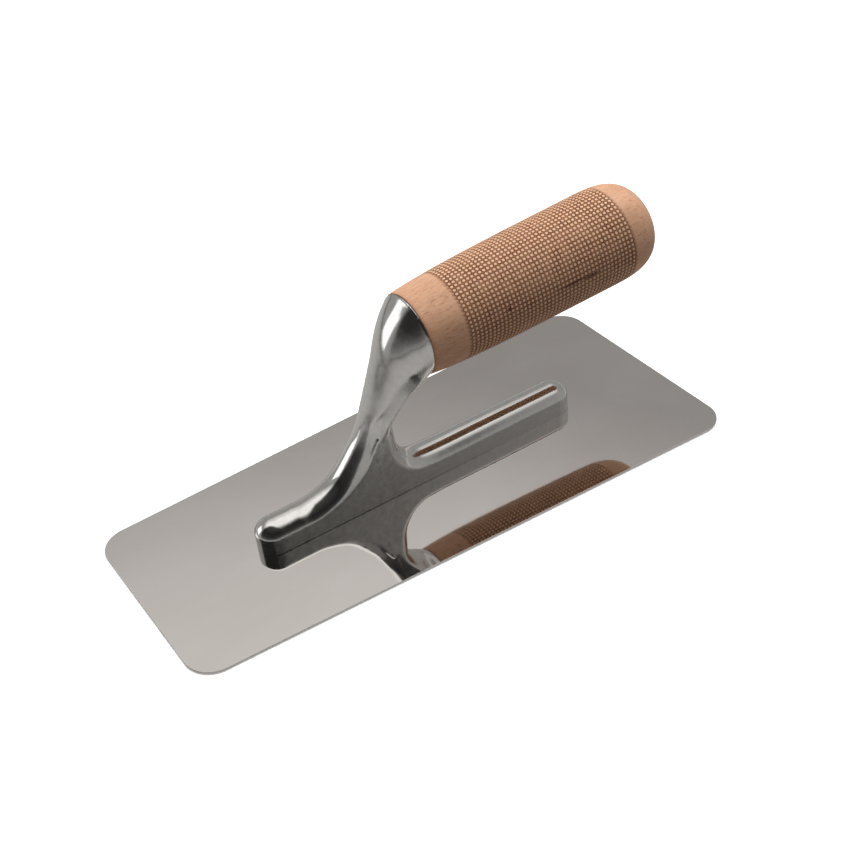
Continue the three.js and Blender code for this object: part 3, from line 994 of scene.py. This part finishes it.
def build_nut():
    """A hexagon nut with its corners turned off at both ends."""
    start = HANDLE_LENGTH - COUNTERBORE_DEPTH + 2 * FIT_GAP + WASHER_THICKNESS
    end = start + NUT_HEIGHT
    bore = STUD_RADIUS + NUT_BORE_GAP
    corner = (even_turns(FIXING_STEPS) + math.pi / 6) % (math.pi / 3) - math.pi / 6
    hexagon = NUT_ACROSS_FLATS / 2 / np.cos(corner)
    turned_off = np.minimum(hexagon, NUT_END_RADIUS)
    outside = (
        (start, turned_off),
        (start + NUT_CHAMFER, hexagon),
        (end - NUT_CHAMFER, hexagon),
        (end, turned_off),
    )
    out = spokes(FIXING_STEPS)
    rings = [HEAD_CENTRE + AXIS * along + out * radius[:, None] for along, radius in outside]
    rings.append(turned_points([
        (end, bore + NUT_BORE_EASE),
        (end - NUT_BORE_EASE, bore),
        (start + NUT_BORE_EASE, bore),
        (start, bore + NUT_BORE_EASE),
    ], FIXING_STEPS))
    points = np.concatenate(rings)
    nut = make_object("nut", points, loop_faces(len(points) // FIXING_STEPS, FIXING_STEPS))
    shade_smooth(nut, 25)
    return nut


# ------------------------------------------------------------------ studio

CAMERA_TARGET = Vector((0.0076, 0.0, 0.022))
CAMERA_DISTANCE = 0.5454
CAMERA_AZIMUTH = 30.0
CAMERA_ELEVATION = 37.66
CAMERA_ROLL = -6.29
CAMERA_LENS = 58.26
FLOOR_HALF = 9000
FLOOR_DROP = 0.0005
BACKDROP = (0.95, 0.95, 0.95, 1)
WARMTH = (1, 0.965, 0.935)
UP = (0, 0, 1)
# The bright part of the room, by how far a direction goes up the leaning ceiling or, with the
# rise added, straight up. Then the dark part, by how far it goes straight up. (Place, level) pairs.
CEILING = (0.12, 0.34, 0.93)
CEILING_RISE = 0.13
BRIGHT_TOP = 1.2
BRIGHT_LEVELS = (
    (0.0, 0.38), (0.4, 0.33), (0.83, 0.33), (0.85, 0.41), (0.875, 0.53), (0.9, 0.66), (0.94, 0.75),
    (1.02, 1.1),
)
DARK_TOP = 1.0
DARK_LEVELS = ((0.0, 0.3), (0.12, 0.16), (0.25, 0.07), (0.4, 0.03), (0.7, 0.018), (1.0, 0.05))
# The plane between the two parts, and half the width of their blend.
PARTING = (0.66, 0.68, -0.5)
PARTING_OFFSET = 0.5
PARTING_BLEND = 0.09


def add_camera():
    """The camera looks down at the toe's near side, rolled a little clockwise."""
    azimuth = math.radians(CAMERA_AZIMUTH)
    elevation = math.radians(CAMERA_ELEVATION)
    forward = Vector((
        math.sin(azimuth) * math.cos(elevation),
        math.cos(azimuth) * math.cos(elevation),
        -math.sin(elevation),
    ))
    data = bpy.data.cameras.new("camera")
    data.lens = CAMERA_LENS
    data.sensor_width = 36
    data.clip_start = 0.01
    camera = bpy.data.objects.new("camera", data)
    bpy.context.scene.collection.objects.link(camera)
    level = forward.to_track_quat("-Z", "Y").to_matrix()
    roll = Matrix.Rotation(math.radians(CAMERA_ROLL), 3, "Z")
    place = Matrix.Translation(CAMERA_TARGET - forward * CAMERA_DISTANCE)
    camera.matrix_world = place @ (level @ roll).to_4x4()
    bpy.context.scene.camera = camera


def add_area_light(name, place, target, size, power):
    """A square light that faces its target."""
    data = bpy.data.lights.new(name, "AREA")
    data.energy = power
    data.shape = "SQUARE"
    data.size = size
    light = bpy.data.objects.new(name, data)
    bpy.context.scene.collection.objects.link(light)
    light.location = place
    light.rotation_euler = (Vector(target) - Vector(place)).to_track_quat("-Z", "Y").to_euler()
    return light


def add_world():
    """A room with a bright far side and ceiling and a dark near left side, seen in the metal's
    reflections. The camera sees plain white instead."""
    world = bpy.data.worlds.new("studio")
    bpy.context.scene.world = world
    world.use_nodes = True
    tree = world.node_tree
    direction = tree.nodes.new("ShaderNodeTexCoord").outputs["Generated"]

    def along(vector, offset):
        """How far the view direction goes along a vector, plus an offset."""
        dot = tree.nodes.new("ShaderNodeVectorMath")
        dot.operation = "DOT_PRODUCT"
        dot.inputs[1].default_value = vector
        tree.links.new(direction, dot.inputs[0])
        total = tree.nodes.new("ShaderNodeMath")
        total.operation = "ADD"
        total.inputs[1].default_value = offset
        tree.links.new(dot.outputs["Value"], total.inputs[0])
        return total.outputs["Value"]

    def ramp(value, top, stops):
        """Warm grey levels at values from 0 to top."""
        span = tree.nodes.new("ShaderNodeMapRange")
        span.inputs["From Max"].default_value = top
        tree.links.new(value, span.inputs["Value"])
        node = tree.nodes.new("ShaderNodeValToRGB")
        elements = node.color_ramp.elements
        while len(elements) < len(stops):
            elements.new(0.5)
        for element, (position, level) in zip(elements, stops):
            element.position = position / top
            element.color = (*(level * tint for tint in WARMTH), 1)
        tree.links.new(span.outputs["Result"], node.inputs["Fac"])
        return node.outputs["Color"]

    def blend(fac, first, second):
        """A mix of two colours, by a socket that runs from 0 to 1."""
        node = tree.nodes.new("ShaderNodeMix")
        node.data_type = "RGBA"
        tree.links.new(fac, node.inputs[0])
        tree.links.new(first, node.inputs[6])
        if isinstance(second, tuple):
            node.inputs[7].default_value = second
        else:
            tree.links.new(second, node.inputs[7])
        return node.outputs[2]

    height = tree.nodes.new("ShaderNodeMath")
    height.operation = "MAXIMUM"
    tree.links.new(along(CEILING, 0.0), height.inputs[0])
    tree.links.new(along(UP, CEILING_RISE), height.inputs[1])
    edge = tree.nodes.new("ShaderNodeMapRange")
    edge.interpolation_type = "SMOOTHSTEP"
    edge.inputs["From Min"].default_value = -PARTING_BLEND
    edge.inputs["From Max"].default_value = PARTING_BLEND
    tree.links.new(along(PARTING, PARTING_OFFSET), edge.inputs["Value"])
    room = blend(
        edge.outputs["Result"],
        ramp(along(UP, 0.0), DARK_TOP, DARK_LEVELS),
        ramp(height.outputs["Value"], BRIGHT_TOP, BRIGHT_LEVELS),
    )
    seen = tree.nodes.new("ShaderNodeLightPath").outputs["Is Camera Ray"]
    tree.links.new(blend(seen, room, BACKDROP), tree.nodes["Background"].inputs["Color"])


def add_studio():
    """A pale floor, an overhead softbox that the metal doesn't mirror, a low one and the room."""
    corners = [(x * FLOOR_HALF, y * FLOOR_HALF, 0) for x, y in ((-1, -1), (1, -1), (1, 1), (-1, 1))]
    floor = make_object("floor", corners, [(0, 1, 2, 3)])
    floor.location.z = -FLOOR_DROP
    dress(floor, floor_paint())
    softbox = add_area_light("softbox_top", (0.3, 0.25, 1.3), (0, 0, 0), 0.9, 20)
    softbox.visible_glossy = False
    add_area_light("softbox_low", (-0.95, 0.9, 0.4), (0, 0, 0.03), 0.6, 1.2)
    add_world()
    bpy.context.scene.view_settings.view_transform = "Standard"


# ------------------------------------------------------------------ assembly

def mount_piece(piece, node, material):
    """Dresses a piece, puts it on the tool's body and lets it stand for its CAD node."""
    dress(piece, material)
    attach(piece, "root")
    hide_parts(node)


add_camera()
add_studio()
mount_piece(build_blade(), "blade", blade_steel())
mount_piece(build_bracket(), "bracket", cast_aluminium())
mount_piece(build_handle(), "handle", beech())
rivet_look = rivet_steel()
for index, x in enumerate(RIVET_XS, start=1):
    mount_piece(build_rivet(index, x), f"blade_rivet_{index}", rivet_look)
zinc_look = zinc_steel()
mount_piece(build_stud(), "handle_stud", zinc_look)
mount_piece(build_washer(), "handle_washer", zinc_look)
mount_piece(build_nut(), "handle_nut", zinc_look)
